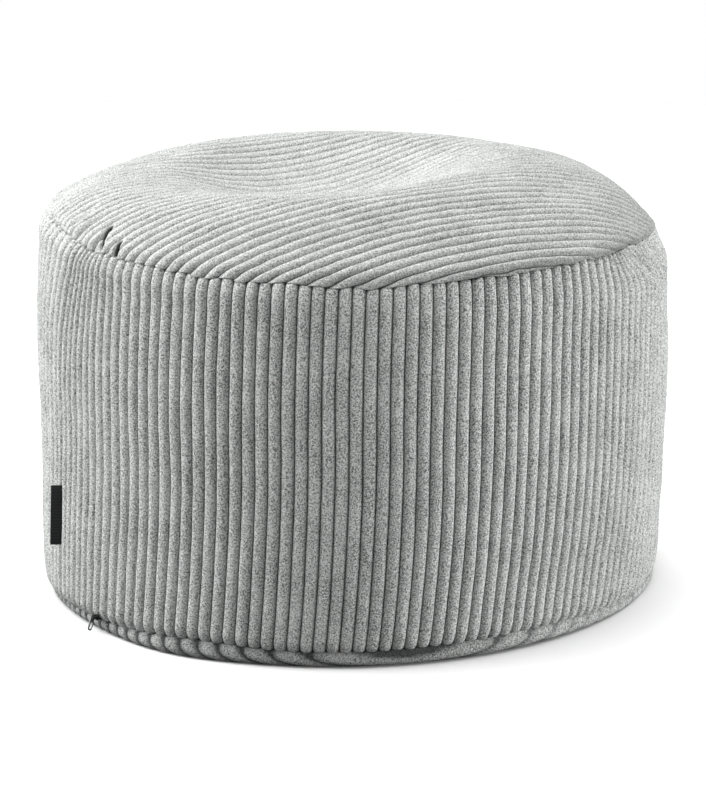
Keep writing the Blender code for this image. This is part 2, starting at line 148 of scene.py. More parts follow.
DomeRing = namedtuple("DomeRing", "radius height")
DOME_RINGS = (
    DomeRing(0.0000, 0.0655),
    DomeRing(0.0500, 0.0650),
    DomeRing(0.0990, 0.0623),
    DomeRing(0.1390, 0.0574),
    DomeRing(0.1710, 0.0480),
    DomeRing(0.1970, 0.0384),
    DomeRing(0.2160, 0.0280),
    DomeRing(0.2300, 0.0180),
    DomeRing(0.2385, 0.0099),
    DomeRing(0.2425, 0.0000),
)
CROWN_TO_BACK = 0.0195
CROWN_TO_LEFT = 0.0047
Dent = namedtuple("Dent", "x y half_length half_width turn depth")
DENT = Dent(-0.0294, 0.0223, 0.1230, 0.1049, radians(32.8), 0.0481)
DENT_EDGE = 1.2

# %% How the cords run
BAND_CORDS = 160
CORD_PHASE = radians(-0.65)
TOP_CORD_ANGLE = radians(29.3)
BOTTOM_CORD_ANGLE = radians(13.0)
PANEL_CORD_PITCH = 0.0099
FOOT_LEAN = radians(-1.7)
TOP_LEAN = radians(0.6)
SEAM_LEAN = radians(5.5)
SEAM_LEAN_AT = radians(-66)
SEAM_LEAN_SPREAD = radians(12)
SEAM_SHIFT = radians(2.0)
RIGHT_LEAN = radians(-4.5)
RIGHT_LEAN_AT = radians(72)
RIGHT_LEAN_SPREAD = radians(16)
RIGHT_LEAN_FROM = 0.86
RIGHT_LEAN_CURVE = 1.5
LEAN_STARTS_AT = 0.55
SEAM_CORD = -28

band_radius = smooth_curve([r.share for r in BAND_RINGS], [r.radius for r in BAND_RINGS])
band_skew = smooth_curve([r.share for r in BAND_RINGS], [r.skew for r in BAND_RINGS])
seam_places = [radians(place.azimuth) for place in TOP_SEAM_PLACES]
seam_height_curve = smooth_curve(seam_places, [place.height for place in TOP_SEAM_PLACES])
seam_radius_curve = smooth_curve(seam_places, [place.radius for place in TOP_SEAM_PLACES])
dome_steps = [0.0]
for inner, outer in zip(DOME_RINGS, DOME_RINGS[1:]):
    step = np.hypot(outer.radius - inner.radius, outer.height - inner.height)
    dome_steps.append(dome_steps[-1] + step)
DOME_ARC = dome_steps[-1]
dome_radius = smooth_curve([s / DOME_ARC for s in dome_steps], [r.radius for r in DOME_RINGS])
dome_height = smooth_curve([s / DOME_ARC for s in dome_steps], [r.height for r in DOME_RINGS])
print("dome, seam to crown along the cloth: %.0f mm" % (DOME_ARC * 1000))


# %% Points on the crests of the cords
CORNER_FADES_BY = 3


def front_corner(azimuth):
    """The foot stands out at the front left and draws in at the front right."""
    return -np.sin(2 * azimuth) * np.clip(CORNER_FADES_BY * np.cos(azimuth), 0, 1)


def foot_seam_height(azimuth):
    return FOOT_SEAM + FOOT_TILT * np.sin(azimuth)


def one_turn(azimuth):
    """An azimuth brought between half a turn to the left and half a turn to the right."""
    return (azimuth + pi) % (2 * pi) - pi


def top_seam_height(azimuth):
    return seam_height_curve(one_turn(azimuth))


def top_tuck(azimuth):
    """How far the top seam is drawn in over the shoulder, to the left and right."""
    return DOME_RINGS[-1].radius - seam_radius_curve(one_turn(azimuth))


def around(azimuth, radius, height):
    return np.stack([radius * np.sin(azimuth), -radius * np.cos(azimuth), height], axis=-1)


def band_point(azimuth, share):
    low = FOOT_LEAN * np.clip(1 - share / LEAN_STARTS_AT, 0, 1) ** 2
    by_seam = np.exp(-((azimuth - SEAM_LEAN_AT) / SEAM_LEAN_SPREAD) ** 2)
    rising = np.clip((share - LEAN_STARTS_AT) / (1 - LEAN_STARTS_AT), 0, 1) ** 2
    at_right = np.exp(-((azimuth - RIGHT_LEAN_AT) / RIGHT_LEAN_SPREAD) ** 2)
    near_top = np.clip((share - RIGHT_LEAN_FROM) / (1 - RIGHT_LEAN_FROM), 0, 1)
    leant = azimuth + low + (TOP_LEAN + SEAM_LEAN * by_seam) * rising
    leant = leant + SEAM_SHIFT * by_seam + RIGHT_LEAN * at_right * near_top ** RIGHT_LEAN_CURVE
    foot = foot_seam_height(leant)
    height = foot + (top_seam_height(leant) - SEAM_GAP - foot) * share
    corner = FRONT_CORNER * front_corner(leant) * (1 - share) ** 2
    tucked = np.clip((share - TUCK_STARTS_AT) / (1 - TUCK_STARTS_AT), 0, 1) ** TUCK_CURVE
    radius = band_radius(share) + band_skew(share) * np.sin(leant) + corner
    return around(leant, radius - top_tuck(leant) * tucked, height)


def pressed(point, reach):
    """How far into the dent a point lies: 1 at its deepest place, 0 outside it."""
    px = point[..., 0] - DENT.x
    py = point[..., 1] - DENT.y
    length = (px * cos(DENT.turn) + py * sin(DENT.turn)) / DENT.half_length
    width = (py * cos(DENT.turn) - px * sin(DENT.turn)) / DENT.half_width
    return np.exp(-(length ** 2 + width ** 2) ** DENT_EDGE) * (1 - reach ** DENT_RIM_POWER)


def top_point(along, across):
    x = along * cos(TOP_CORD_ANGLE) - across * sin(TOP_CORD_ANGLE)
    y = along * sin(TOP_CORD_ANGLE) + across * cos(TOP_CORD_ANGLE)
    reach = np.clip(np.hypot(x, y), 0, 1)
    azimuth = np.arctan2(x, -y)
    climb = (top_seam_height(azimuth) - TOP_SEAM) * reach ** SEAM_CLIMB_POWER
    height = TOP_SEAM + climb + dome_height(reach)
    near_seam = reach ** SHOULDER_POWER
    shoulder = 4 * near_seam * (1 - near_seam)
    height -= RIGHT_SHOULDER * np.clip(np.sin(azimuth), 0, 1) ** SHOULDER_SIDE_POWER * shoulder
    push = reach * (1 - reach ** 2)
    height -= push * (CROWN_TO_LEFT * np.sin(azimuth) + CROWN_TO_BACK * np.cos(azimuth))
    point = around(azimuth, dome_radius(reach) - top_tuck(azimuth) * reach ** SEAM_TUCK_POWER, height)
    point[..., 2] -= DENT.depth * pressed(point, reach)
    return point


def bottom_point(azimuth, step):
    corner = front_corner(azimuth)
    flat = FLAT_RADIUS + FLAT_CORNER * corner
    seam = band_radius(0.0) + FRONT_CORNER * corner
    radius = flat + (seam - flat) * np.sqrt(1 - (1 - step) ** 2)
    height = (foot_seam_height(azimuth) - SEAM_GAP) * (1 - np.sqrt(1 - step ** 2))
    return around(azimuth, radius, height)


# %% [markdown]
# ## Cords as real ridges
#
# Corduroy is woven with loops in stripes, which are cut and brushed into a row of soft
# ridges with bare ground between them. At 9.8 mm a ridge these are wide enough to be
# real geometry: each has twelve strips across, packed closer towards its groove, where
# the surface turns steepest. At a seam the ridge narrows and rounds off like a finger
# tip before it tucks in. All depths are measured inward from the crest surface.

# %% The section of a cord
CORD_DEPTH = 0.0042
CORD_END = 0.0036
STRIPS_A_CORD = 12
RIDGE_ROUNDNESS = 2.6
RIDGE_SHOULDER = 0.56

# How wide and how high a cord still is at its very end, beside 1 along its run
END_WIDTH = 0.75
END_HEIGHT = 0.78
widest = max(ring.radius for ring in BAND_RINGS)
print("a band cord is %.1f mm wide" % (2 * pi * widest / BAND_CORDS * 1000))


def cord_places(first, last):
    """Places across the cloth, in cords, packed closer towards each groove."""
    turns = np.arange(STRIPS_A_CORD) / STRIPS_A_CORD * pi - pi / 2
    within = (1 + np.sin(turns)) / 2
    return (np.arange(first, last)[:, None] + within).ravel()


def cord_depth(place, to_seam):
    """How far the cloth lies under its crest, by the place across and the way to a seam."""
    across = np.abs(2 * (place - np.floor(place)) - 1)
    near = np.clip(to_seam / CORD_END, 0, 1)
    round_end = np.sqrt(1 - (1 - near) ** 2)
    half_width = END_WIDTH + (1 - END_WIDTH) * round_end
    ridge = (1 - np.clip(across / half_width, 0, 1) ** RIDGE_ROUNDNESS) ** RIDGE_SHOULDER
    return CORD_DEPTH * (1 - ridge * (END_HEIGHT + (1 - END_HEIGHT) * round_end))


def outward(surface, a, b, step=1e-4):
    """The surface's unit normals, turned away from the middle of the pouf."""
    across_a = surface(a + step, b) - surface(a - step, b)
    across_b = surface(a, b + step) - surface(a, b - step)
    normal = np.cross(across_a, across_b)
    normal /= np.linalg.norm(normal, axis=-1, keepdims=True)
    away = surface(a, b) - np.array([0.0, 0.0, TOP_SEAM / 2])
    return normal * np.sign(np.sum(normal * away, axis=-1, keepdims=True))


# %% [markdown]
# ## Nothing sewn is even
#
# Stuffed cloth swells and sags by a millimetre or two, and no cord is quite straight.
# A handful of sine waves in random directions, with a fixed seed, gives a soft ripple
# that is the same in each run. It is read at points in space, so it has no seam at the
# back of the pouf. Each kind of unevenness has a height and a length from wave to wave.


# %% A soft ripple in space
SHORTEST_WAVE = 0.7
LONGEST_WAVE = 1.5


def ripple(points, length, seed, waves=16):
    random = np.random.default_rng(seed)
    total = np.zeros(points.shape[:-1])
    for _ in range(waves):
        way = random.normal(size=3)
        wave = length * random.uniform(SHORTEST_WAVE, LONGEST_WAVE)
        way *= 2 * pi / (wave * np.linalg.norm(way))
        total += np.sin(points @ way + random.uniform(0, 2 * pi))
    return total / np.sqrt(waves / 2)


# %% [markdown]
# Where the top panel is eased into the band, the cloth puckers. Two sharp slits and some
# softer folds stand beside the seam at the left, and three folds sit under it at the
# right. Each is a straight line in space that draws the cloth in around it. A slit is so
# deep and narrow that no light reaches its floor, and the material paints its inside near
# black as that shade.

# %% Puckers beside the seams
Crease = namedtuple("Crease", "start end width depth")
TOP_SLITS = (
    Crease((-0.1773, -0.1383, 0.3036), (-0.1834, -0.1548, 0.2930), 0.0015, 0.0100),
    Crease((-0.1680, -0.1635, 0.2980), (-0.1713, -0.1703, 0.2895), 0.0015, 0.0090),
)
TOP_FOLDS = (
    Crease((-0.182, -0.150, 0.300), (-0.190, -0.156, 0.286), 0.0050, 0.0022),
    Crease((-0.195, -0.095, 0.308), (-0.206, -0.107, 0.300), 0.0040, 0.0026),
    Crease((-0.189, -0.116, 0.307), (-0.201, -0.127, 0.297), 0.0040, 0.0026),
)
BAND_CREASES = (
    Crease((0.2080, -0.1140, 0.2800), (0.2200, -0.1060, 0.2620), 0.0028, 0.0034),
    Crease((0.2160, -0.0960, 0.2790), (0.2290, -0.0860, 0.2620), 0.0028, 0.0034),
    Crease((0.2230, -0.0740, 0.2780), (0.2350, -0.0640, 0.2640), 0.0028, 0.0030),
)


def crease_depth(points, creases):
    depth = np.zeros(points.shape[:-1])
    for crease in creases:
        start = np.array(crease.start)
        line = np.array(crease.end) - start
        along = np.clip((points - start) @ line / (line @ line), 0, 1)
        away = np.linalg.norm(points - start - along[..., None] * line, axis=-1)
        depth += crease.depth * np.exp(-(away / crease.width) ** 2)
    return depth


print("puckers:", len(TOP_SLITS), "slits,", len(TOP_FOLDS) + len(BAND_CREASES), "folds")

# %% [markdown]
# ## From points to a mesh
#
# The panels have far too many points to place by hand, so their meshes are written from
# arrays. One number is kept on each point for the material: how deep it lies in a groove.
# The ground between the ridges has hardly any pile, and the material also darkens it as
# painted shade in the grooves. The number is 0 on a crest and 1 in a groove, and it goes
# past 1 inside a slit; on the bottom rim it also carries painted shade.


# %% Mesh helpers
def wall_faces(columns, rows):
    row, column = np.meshgrid(np.arange(rows - 1), np.arange(columns), indexing="ij")
    beside = (column + 1) % columns
    low = row * columns
    corners = (low + column, low + beside, low + columns + beside, low + columns + column)
    return np.stack(corners, axis=-1).reshape(-1, 4).tolist()


def fan_faces(ring, middle):
    return [(a, b, middle) for a, b in zip(ring, ring[1:] + ring[:1])]


def cloth_piece(name, points, faces, groove):
    mesh = bpy.data.meshes.new(name)
    mesh.from_pydata([tuple(p) for p in points], [], faces)
    mesh.validate()
    attribute = mesh.attributes.new("groove", "FLOAT", "POINT")
    attribute.data.foreach_set("value", np.asarray(groove, np.float32))
    mesh.shade_smooth()
    piece = bpy.data.objects.new(name, mesh)
    bpy.context.scene.collection.objects.link(piece)
    only(piece)
    bpy.ops.object.mode_set(mode="EDIT")
    bpy.ops.mesh.select_all(action="SELECT")
    bpy.ops.mesh.normals_make_consistent(inside=False)
    bpy.ops.object.mode_set(mode="OBJECT")
    triangles = sum(len(face) - 2 for face in faces)
    print("%s: %d points, %d triangles" % (name, len(points), triangles))
    return piece


def only(piece):
    """Selects one object and nothing else."""
    bpy.ops.object.select_all(action="DESELECT")
    piece.select_set(True)
    bpy.context.view_layer.objects.active = piece


# %% [markdown]
# ## The side band
#
# The band's cords stand upright, so its columns of points follow them. They lean a
# little at the foot, swing over to the right where the closing seam meets the top, and
# are pulled the other way at the right, where the top was eased in. Rows lie closer
# together near both seams, where the cord ends turn in. The top seam rises and falls a
# little from cord to cord, and the foot seam sags at both sides.

# %% Build the band
BAND_ROWS = 50
BAND_CROWDING = 0.85
SEAM_GROOVE_EXTRA = 0.0022
SEAM_GROOVE_WIDTH = 0.16

# The stuffing swells the cloth, the cords wander, and the pile is a little lumpy
SWELL = 0.0004
SWELL_LENGTH = 0.150
WANDER = 0.00016
WANDER_LENGTH = 0.050
LUMP = 0.00016
LUMP_LENGTH = 0.016
HELD_BY_SEAM = 0.020

# The cords that are pulled left where the top was eased in at the right
PULLED_AT = radians(64)
PULLED_SPREAD = radians(9)
PULLED_BY = radians(5.5)
PULLED_FROM = 0.87
PULLED_CURVE = 1.5

SEAM_WOBBLE = 0.0007
SEAM_WOBBLE_LENGTH = 0.018
SEAM_WOBBLE_REACH = 0.007
FootShift = namedtuple("FootShift", "azimuth spread rise")
FOOT_SHIFTS = (
    FootShift(radians(-76), radians(14), -0.0040),
    FootShift(radians(-26), radians(12), 0.0034),
    FootShift(radians(68), radians(22), -0.0092),
)
FOOT_SHIFT_REACH = 0.030


def eased(count, crowding):
    """Steps from 0 to 1 that lie closer together at both ends."""
    even = np.linspace(0, 1, count)
    curved = (1 - np.cos(pi * even)) / 2
    return (1 - crowding) * even + crowding * curved


def seam_wobble(points, to_seam):
    """The top seam rises and falls a little from cord to cord, on both sides of it alike."""
    rise = SEAM_WOBBLE * ripple(points * (1, 1, 0), SEAM_WOBBLE_LENGTH, seed=21)
    return rise * np.exp(-to_seam / SEAM_WOBBLE_REACH)


def foot_shift(azimuth, above_seam):
    """The foot seam sits a little high at the front left, and sags at the left and right."""
    rise = np.zeros_like(azimuth)
    for shift in FOOT_SHIFTS:
        rise += shift.rise * np.exp(-((azimuth - shift.azimuth) / shift.spread) ** 2)
    return rise * np.exp(-(above_seam / FOOT_SHIFT_REACH) ** 2)


def build_band():
    places = cord_places(0, BAND_CORDS)
    shares = eased(BAND_ROWS + 1, BAND_CROWDING)
    azimuth, share = np.meshgrid(places * 2 * pi / BAND_CORDS + CORD_PHASE, shares)
    azimuth = one_turn(azimuth)
    straight = band_point(azimuth, share)
    wobble = ripple(straight * (2, 2, 1), WANDER_LENGTH, seed=3)
    azimuth = azimuth + WANDER * wobble / BAND_RINGS[0].radius * np.sin(pi * share)
    pulled = np.clip((share - PULLED_FROM) / (1 - PULLED_FROM), 0, 1) ** PULLED_CURVE
    azimuth = azimuth - PULLED_BY * np.exp(-((azimuth - PULLED_AT) / PULLED_SPREAD) ** 2) * pulled
    crest = band_point(azimuth, share)
    tall = TOP_SEAM - FOOT_SEAM
    to_seam = np.minimum(share, 1 - share) * tall
    free = np.clip(to_seam / HELD_BY_SEAM, 0, 1)
    depth = cord_depth(places[None, :], to_seam)
    groove = depth / CORD_DEPTH
    depth += LUMP * ripple(crest * (1, 1, 0.5), LUMP_LENGTH, seed=5)
    depth -= SWELL * ripple(crest, SWELL_LENGTH, seed=8) * free
    off_seam = np.abs((places - SEAM_CORD + BAND_CORDS / 2) % BAND_CORDS - BAND_CORDS / 2)
    depth += SEAM_GROOVE_EXTRA * np.exp(-(off_seam / SEAM_GROOVE_WIDTH) ** 2) * free
    depth += crease_depth(crest, BAND_CREASES)
    normal = outward(band_point, azimuth, share)
    normal[..., 2] *= np.clip(to_seam / CORD_END, 0, 1)
    points = crest - normal * depth[..., None]
    leant = np.arctan2(crest[..., 0], -crest[..., 1])
    points[..., 2] += seam_wobble(crest, (1 - share) * tall) + foot_shift(leant, share * tall)
    points = points.reshape(-1, 3)
    columns = len(places)
    faces = wall_faces(columns, BAND_ROWS + 1)
    middles = []
    for row, height in ((0, FOOT_SEAM), (BAND_ROWS, TOP_SEAM - SEAM_GAP)):
        ring = list(range(row * columns, (row + 1) * columns))
        faces += fan_faces(ring, len(points) + len(middles))
        middles.append((0.0, 0.0, height))
    groove = np.concatenate([groove.ravel(), [0, 0]])
    return cloth_piece("side_band_corduroy", np.vstack([points, middles]), faces, groove)


side_band = build_band()

# %% [markdown]
# ## The top panel
#
# The top's cords don't run round the pouf but straight across it, from the front left
# to the back right. So its points lie in lines along the cords, each line a chord of
# the round panel. The lines shorten towards the two edges that they run beside, and
# the last one closes to a point. Sitting has pressed the cords flat in the dent, and the
# filling swells the shoulder over the seam at the right.

# %% Build the top panel
TOP_ROWS = 146
TOP_CROWDING = 0.80
EDGE_LEFT_FREE = 0.02
TIP_REACH = 0.998
TOP_SWELL = 0.0007
TOP_SWELL_LENGTH = 0.110
TOP_WANDER_LENGTH = 0.070
TOP_LUMP_LENGTH = 0.020

# How flat the cords lie in the dent, and the depth of slit that adds one to the groove value, which
# paints the slit's inside darker as shade
FLATTENED = 0.70
SLIT_SHADE_DEPTH = 0.0025

# A normal is taken just inside the rim, where the dome still has both its directions
INSIDE_RIM = 0.9995
SHOULDER_AT = radians(50)
SHOULDER_SPREAD = radians(24)
SHOULDER_SWELL = 0.0046
SHOULDER_REACH = 0.009


def build_top():
    cords = DOME_ARC / PANEL_CORD_PITCH
    places = cord_places(-int(cords) - 1, int(cords) + 1)
    places = places[np.abs(places) < cords - EDGE_LEFT_FREE]
    step = 2 * eased(TOP_ROWS + 1, TOP_CROWDING) - 1
    across, step = np.meshgrid(places / cords, step, indexing="ij")
    along = step * np.sqrt(1 - across ** 2)
    straight = top_point(along, across)
    wobble = ripple(straight, TOP_WANDER_LENGTH, seed=13)
    across = across + wobble * WANDER / DOME_ARC * (1 - step ** 2)
    crest = top_point(along, across)
    to_seam = (1 - np.hypot(along, across)) * DOME_ARC
    free = np.clip(to_seam / HELD_BY_SEAM, 0, 1)
    flattened = 1 - FLATTENED * pressed(crest, np.hypot(along, across))
    depth = cord_depth(places[:, None], to_seam) * flattened
    slit = crease_depth(crest, TOP_SLITS)
    groove = depth / CORD_DEPTH + slit / SLIT_SHADE_DEPTH
    depth += LUMP * ripple(crest, TOP_LUMP_LENGTH, seed=15)
    depth -= TOP_SWELL * ripple(crest, TOP_SWELL_LENGTH, seed=18) * free
    depth += slit + crease_depth(crest, TOP_FOLDS)
    azimuth = np.arctan2(crest[..., 0], -crest[..., 1])
    hump = to_seam / SHOULDER_REACH * np.exp(1 - to_seam / SHOULDER_REACH)
    depth -= SHOULDER_SWELL * hump * np.exp(-((azimuth - SHOULDER_AT) / SHOULDER_SPREAD) ** 2)
    normal = outward(top_point, along * INSIDE_RIM, across * INSIDE_RIM)
    normal[..., 2] *= np.clip(to_seam / CORD_END, 0, 1)
    points = crest - normal * depth[..., None]
    points[..., 2] += seam_wobble(crest, to_seam)
    points = points.reshape(-1, 3)
    lines, width = along.shape
    line, place = np.meshgrid(np.arange(lines - 1), np.arange(width - 1), indexing="ij")
    low = line * width + place
    faces = np.stack([low, low + 1, low + width + 1, low + width], axis=-1).reshape(-1, 4).tolist()
    near_tip = len(points)
    far_tip = near_tip + 1
    tips = [top_point(np.array(0.0), np.array(end)) for end in (-TIP_REACH, TIP_REACH)]
    for place in range(width - 1):
        faces.append((place, place + 1, near_tip))
        faces.append(((lines - 1) * width + place, (lines - 1) * width + place + 1, far_tip))
    right = [line * width + width - 1 for line in range(lines)]
    left = [line * width for line in reversed(range(lines))]
    faces += fan_faces([near_tip] + right + [far_tip] + left, len(points) + 2)
    groove = np.concatenate([groove.ravel(), [0.5, 0.5, 0]])
    points = np.vstack([points, tips, [(0.0, 0.0, TOP_SEAM)]])
    return cloth_piece("top_panel_corduroy", points, faces, groove)


top_panel = build_top()

# %% [markdown]
# ## The bottom panel
#
# Only the rim of the bottom shows: it bulges out under the foot seam and then turns in
# to the floor, where the pouf's weight presses it flat. Its cords cross the rim at all
# angles, because they too run straight across a round panel. They are pressed shallower
# than the band's, most of all at the right. The rim's colour is painted darker all over,
# as the shade under the band's overhang, and darker still near the floor, as a painted
# contact shadow.

# %% Build the bottom panel
BOTTOM_ROWS = 16
BOTTOM_CROWDING = 0.3
BOTTOM_RIM = 0.0150
OFF_FLOOR_STEP = 0.35
TURNS_IN_STEP = 0.4
NORMAL_STEPS = (0.05, 0.95)

# The rim is undercut near the floor, and spreads at the front left under the weight
UNDERCUT = 0.0030
UNDERCUT_HEIGHT = 0.0060
CORNER_SPREAD = 0.0055
CORNER_AT = radians(-33)
CORNER_WIDE = radians(13)
CORNER_CURVE = 0.5

# How deep its cords are beside the band's, and how much smoother they lie at the right
FOOT_CORD_DEPTH = 0.52
SMOOTHED_AT = radians(55)
SMOOTHED_SPREAD = radians(30)
SMOOTHED = 0.65

# Painted shade added to the kept groove value: over the whole rim for the band's overhang, and near the
# floor as a contact shadow
OVERHANG_SHADE = 0.54
FLOOR_SHADOW_HEIGHT = 0.0100
PAINTED_FLOOR_SHADOW = 0.4


def build_bottom():
    columns = BAND_CORDS * STRIPS_A_CORD
    steps = eased(BOTTOM_ROWS + 1, BOTTOM_CROWDING)
    azimuth, step = np.meshgrid(np.arange(columns) * 2 * pi / columns, steps)
    azimuth = one_turn(azimuth)
    crest = bottom_point(azimuth, step)
    unrolled = FLAT_RADIUS + FLAT_CORNER * front_corner(azimuth) + BOTTOM_RIM * step
    across = unrolled * np.cos(azimuth - BOTTOM_CORD_ANGLE)
    off_floor = np.clip(step / OFF_FLOOR_STEP, 0, 1)
    smoothed = 1 - SMOOTHED * np.exp(-((azimuth - SMOOTHED_AT) / SMOOTHED_SPREAD) ** 2)
    depth = cord_depth(across / PANEL_CORD_PITCH, (1 - step) * BOTTOM_RIM)
    depth = FOOT_CORD_DEPTH * depth * smoothed * off_floor
    normal = outward(bottom_point, azimuth, np.clip(step, *NORMAL_STEPS))
    normal[..., 2] *= np.clip((1 - step) / TURNS_IN_STEP, 0, 1)
    points = crest - normal * depth[..., None]
    height = points[..., 2]
    under = np.clip(1 - height / UNDERCUT_HEIGHT, 0, 1) ** 2
    low = np.clip(1 - height / FOOT_SEAM, 0, 1) ** CORNER_CURVE
    corner = np.exp(-((azimuth - CORNER_AT) / CORNER_WIDE) ** 2) * low
    away = around(azimuth, CORNER_SPREAD * corner - UNDERCUT * under, np.zeros_like(azimuth))
    # Painted contact shadow: the colour darkens towards the floor, over the painted overhang shade
    floor_shadow = np.clip(1 - height / FLOOR_SHADOW_HEIGHT, 0, 1)
    groove_and_shade = OVERHANG_SHADE + depth / CORD_DEPTH + PAINTED_FLOOR_SHADOW * floor_shadow ** 2
    groove = np.minimum(groove_and_shade, 1.0).ravel()
    points = points + away
    points[..., 2] *= 1 + foot_shift(azimuth, 0.0) / (foot_seam_height(azimuth) - SEAM_GAP)
    points = points.reshape(-1, 3)
    faces = wall_faces(columns, BOTTOM_ROWS + 1)
    faces.append(list(range(columns)))
    ring = list(range(BOTTOM_ROWS * columns, (BOTTOM_ROWS + 1) * columns))
    faces += fan_faces(ring, len(points))
    points = np.vstack([points, [(0.0, 0.0, FOOT_SEAM - SEAM_GAP)]])
    groove = np.concatenate([groove, [0]])
    return cloth_piece("bottom_panel_corduroy", points, faces, groove)


bottom_panel = build_bottom()

# %% [markdown]
# ## The woven label
#
# A label like this is a tape folded in half and caught in the seam by its two ends, so
# its free edge is a fold. We pull the tape's edge out step by step with the extrude
# operator, then give it the thickness of two layers and round its edges. Its face is
# left bare.

# %% Model the label
LABEL_BOTTOM = 0.0535
LABEL_TOP = 0.1012
LABEL_THICKNESS = 0.0011
LABEL_EDGE = 0.0004
LabelStep = namedtuple("LabelStep", "along out")
LABEL_STEPS = (
    LabelStep(0.0000, -0.0026),
    LabelStep(0.0002, -0.0010),
    LabelStep(0.0006, 0.0006),
    LabelStep(0.0011, 0.0018),
    LabelStep(0.0016, 0.0028),
    LabelStep(0.0021, 0.0038),
    LabelStep(0.0026, 0.0047),
    LabelStep(0.0031, 0.0056),
    LabelStep(0.0036, 0.0065),
)


def on_band(height, along, out):
    """A point near the band, out of it and leftward along it from the closing seam."""
    share = (height - FOOT_SEAM) / (TOP_SEAM - FOOT_SEAM)
    azimuth = SEAM_CORD * 2 * pi / BAND_CORDS + CORD_PHASE - along / float(band_radius(share))
    foot = band_point(np.array(azimuth), np.array(share))
    normal = outward(band_point, np.array(azimuth), np.array(share))
    spot = foot + normal * out
    return Vector((spot[0], spot[1], height))


def model_label():
    middle = (LABEL_BOTTOM + LABEL_TOP) / 2
    spots = [on_band(middle, step.along, step.out) for step in LABEL_STEPS]
    bpy.ops.mesh.primitive_plane_add(size=1.0, location=spots[0])
    label = bpy.context.object
    label.name = "label_tape"
    bpy.ops.object.mode_set(mode="EDIT")
    bpy.ops.mesh.select_all(action="SELECT")
    bpy.ops.mesh.delete(type="ONLY_FACE")
    bpy.ops.object.mode_set(mode="OBJECT")
    mesh = label.data
    mesh.vertices[0].co = (0, 0, LABEL_BOTTOM - middle)
    mesh.vertices[1].co = (0, 0, LABEL_TOP - middle)
    bpy.ops.object.mode_set(mode="EDIT")
    bpy.ops.mesh.select_all(action="DESELECT")
    bpy.ops.object.mode_set(mode="OBJECT")
    for point in mesh.vertices:
        point.select = point.index > 1
    bpy.ops.object.mode_set(mode="EDIT")
    bpy.ops.mesh.delete(type="VERT")
    bpy.ops.mesh.select_all(action="SELECT")
    for here, there in zip(spots, spots[1:]):
        bpy.ops.mesh.extrude_region_move(TRANSFORM_OT_translate={"value": there - here})
    bpy.ops.mesh.select_all(action="SELECT")
    bpy.ops.mesh.subdivide(number_cuts=3)
    bpy.ops.object.mode_set(mode="OBJECT")
    return label


label = model_label()
print("label mesh:", len(label.data.vertices), "points")

# %% Put the label's rows on the lean of its seam, and thicken it
only(label)
bpy.ops.object.transform_apply(location=True, rotation=True, scale=True)
middle_root = on_band((LABEL_BOTTOM + LABEL_TOP) / 2, 0.0, 0.0)
for point in label.data.vertices:
    root = on_band(point.co.z, 0.0, 0.0)
    point.co.x += root.x - middle_root.x
    point.co.y += root.y - middle_root.y
thick = label.modifiers.new("two layers", "SOLIDIFY")
thick.thickness = LABEL_THICKNESS
thick.offset = 0.0
edges = label.modifiers.new("soft fold", "BEVEL")
edges.width = LABEL_EDGE
edges.segments = 3
for name in ("two layers", "soft fold"):
    bpy.ops.object.modifier_apply(modifier=name)
bpy.ops.object.mode_set(mode="EDIT")
bpy.ops.mesh.select_all(action="SELECT")
bpy.ops.mesh.normals_make_consistent(inside=False)
bpy.ops.object.mode_set(mode="OBJECT")
label.data.shade_smooth()
print("label:", len(label.data.polygons), "faces")

# %% [markdown]
# ## The zip's slider and pull
#
# The zip runs in the foot seam, so only its slider shows, with a small metal pull that
# hangs from the slider's bridge by an eye. The slider is a cube, narrowed into the seam
# and bevelled. The bridge is a bent wire, and the pull a thin plate with an eye and a
# slot cut through it.

# %% Sizes of the slider and pull, and where they sit
ZIP_AZIMUTH = radians(-49.6)
ZIP_RADIUS = 0.2519
ZIP_HEIGHT = 0.0112
SLIDER_SIZE = (0.0064, 0.0034, 0.0036)
SLIDER_NOSE = 0.6
SLIDER_BACK = 0.3
SLIDER_EDGE = 0.0005
BRIDGE_RADIUS = 0.0025
BRIDGE_SINK = 0.00035
BRIDGE_WIRE = 0.0005
BRIDGE_RISE = 0.0016
PULL_LENGTH = 0.0122
PULL_WIDTH = 0.0036
PULL_THICKNESS = 0.0009
PULL_EDGE = 0.00018
PULL_EYE = 0.00105
PULL_DROP = 0.0002
PULL_LEAN = radians(19.0)
SLOT_WIDTH = PULL_WIDTH * 0.50
SLOT_LENGTH = PULL_LENGTH * 0.48
SLOT_MIDDLE = -PULL_LENGTH * 0.52
SMOOTH_UNDER = radians(40)
SHARP_EDGE = radians(60)

zip_out = Vector((sin(ZIP_AZIMUTH), -cos(ZIP_AZIMUTH), 0.0))
zip_up = Vector((0.0, 0.0, 1.0))
zip_along = zip_out.cross(zip_up)
zip_place = (Matrix.Translation(zip_out * ZIP_RADIUS + zip_up * ZIP_HEIGHT)
             @ Matrix((zip_along, zip_out, zip_up)).transposed().to_4x4())
print("zip slider at", [round(v, 4) for v in zip_place.translation])


# %% Model the slider
def settle(piece, place):
    """Moves a piece modelled at the origin to its place, and keeps it in its mesh."""
    only(piece)
    piece.matrix_world = place @ piece.matrix_world
    bpy.ops.object.transform_apply(location=True, rotation=True, scale=True)
    piece.data.shade_smooth()
    bpy.ops.object.shade_smooth_by_angle(angle=SMOOTH_UNDER)


